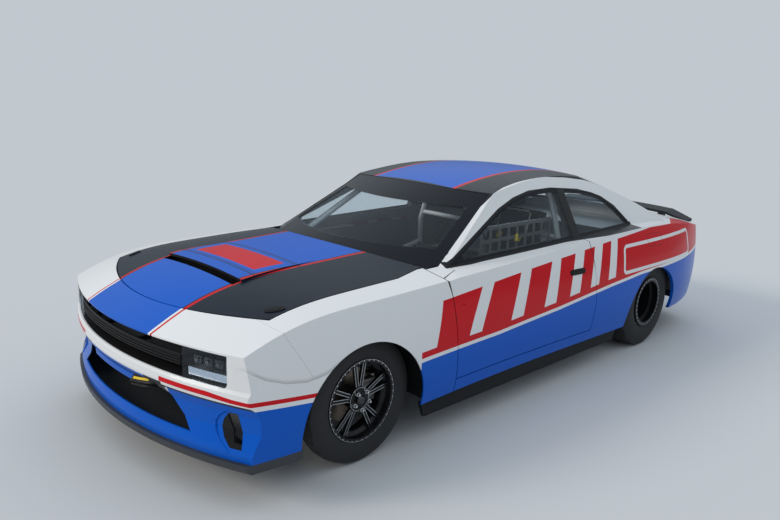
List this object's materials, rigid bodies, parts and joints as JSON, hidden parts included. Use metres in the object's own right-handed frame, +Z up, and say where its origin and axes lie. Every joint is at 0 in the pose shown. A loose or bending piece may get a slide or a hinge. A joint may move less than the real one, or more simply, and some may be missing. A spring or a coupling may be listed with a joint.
{
  "type": "drag racing car",
  "caption": "Low two-door drag racing coupe with hinged doors, hood and deck lid, steered front wheels, wide rear tyres, roll cage and bucket seat.",
  "frame": {"origin": "on the ground under the middle of the car, halfway along and across its box", "axes": "+Y to the rear of the car, +X to the driver's side, +Z up"},
  "size_m": [2.0356, 5.248, 1.4367],
  "materials": {
    "paint": "gloss",
    "hood_paint": "gloss",
    "roof_paint": "gloss",
    "clear": "clear",
    "lamp": "clear",
    "red_lamp": "clear",
    "trim": "matte",
    "frame_paint": "satin",
    "sheet": "satin",
    "cage_paint": "gloss",
    "engine_paint": "satin",
    "steel": "satin",
    "radiator_metal": "satin",
    "black_metal": "satin",
    "tyre_rubber": "matte",
    "seat_shell": "satin",
    "dash_trim": "matte"
  },
  "bodies": {
    "body": {"front_fascia": "paint", "grille": "trim", "headlamps": "lamp", "splitter": "trim", "fender_left": "paint", "fender_right": "paint", "quarter_glass": "clear", "body_side_left": "paint", "body_side_right": "paint", "roof_panel": "roof_paint", "windscreen": "clear", "rear_window": "clear", "cowl_panel": "trim", "rear_fascia": "paint", "tail_lamp": "red_lamp", "lower_trim": "trim", "floor_pan": "sheet", "chassis_frame": "frame_paint", "tie_downs": "frame_paint", "engine_block": "engine_paint", "radiator": "radiator_metal", "exhaust": "steel", "driveshaft": "steel", "roll_cage": "cage_paint", "seat": "seat_shell", "dashboard": "dash_trim", "front_suspension": "frame_paint", "rear_axle": "frame_paint"},
    "hood": {"hood": "hood_paint"},
    "deck_lid": {"deck_lid": "paint", "spoiler": "paint"},
    "door_left": {"door_left": "paint", "door_glass_left": "clear"},
    "door_right": {"door_right": "paint", "door_glass_right": "clear"},
    "knuckle_left": {"knuckle_left": "steel"},
    "knuckle_right": {"knuckle_right": "steel"},
    "front_wheel_left": {"front_wheel_left": "black_metal", "front_tyre_left": "tyre_rubber"},
    "front_wheel_right": {"front_wheel_right": "black_metal", "front_tyre_right": "tyre_rubber"},
    "rear_wheel_left": {"rear_wheel_left": "black_metal", "rear_tyre_left": "tyre_rubber"},
    "rear_wheel_right": {"rear_wheel_right": "black_metal", "rear_tyre_right": "tyre_rubber"},
    "steering_wheel": {"steering_wheel": "black_metal"}
  },
  "joints": [
    {"name": "hood_hinge", "type": "hinge", "parent": "body", "child": "hood", "pos_m": [0, -1.095, 0.945], "axis": [-1, 0, 0], "range_deg": [0, 50]},
    {"name": "deck_lid_hinge", "type": "hinge", "parent": "body", "child": "deck_lid", "pos_m": [0, 1.95, 0.9695], "axis": [1, 0, 0], "range_deg": [0, 60]},
    {"name": "door_left_hinge", "type": "hinge", "parent": "body", "child": "door_left", "pos_m": [0.955, -0.985, 0.59], "axis": [0, 0, -1], "range_deg": [0, 65]},
    {"name": "door_right_hinge", "type": "hinge", "parent": "body", "child": "door_right", "pos_m": [-0.955, -0.985, 0.59], "axis": [0, 0, 1], "range_deg": [0, 65]},
    {"name": "steer_left", "type": "hinge", "parent": "body", "child": "knuckle_left", "pos_m": [0.726, -1.68, 0.354], "axis": [0, 0, 1], "range_deg": [-22, 22]},
    {"name": "steer_right", "type": "hinge", "parent": "body", "child": "knuckle_right", "pos_m": [-0.726, -1.68, 0.354], "axis": [0, 0, 1], "range_deg": [-22, 22]},
    {"name": "steering_wheel_turn", "type": "hinge", "parent": "body", "child": "steering_wheel", "pos_m": [0.365, -0.47, 0.8], "axis": [0, 0.9502, 0.3116], "range_deg": [-180, 180]},
    {"name": "front_left_spin", "type": "hinge", "parent": "knuckle_left", "child": "front_wheel_left", "pos_m": [0.832, -1.68, 0.354], "axis": [1, 0, 0], "continuous": true},
    {"name": "front_right_spin", "type": "hinge", "parent": "knuckle_right", "child": "front_wheel_right", "pos_m": [-0.832, -1.68, 0.354], "axis": [1, 0, 0], "continuous": true},
    {"name": "rear_left_spin", "type": "hinge", "parent": "body", "child": "rear_wheel_left", "pos_m": [0.826, 1.394, 0.372], "axis": [1, 0, 0], "continuous": true},
    {"name": "rear_right_spin", "type": "hinge", "parent": "body", "child": "rear_wheel_right", "pos_m": [-0.826, 1.394, 0.372], "axis": [1, 0, 0], "continuous": true}
  ],
  "couplings": [
    {"joint": "steer_right", "follows": "steer_left", "ratio": 1},
    {"joint": "steering_wheel_turn", "follows": "steer_left", "ratio": 8}
  ]
}
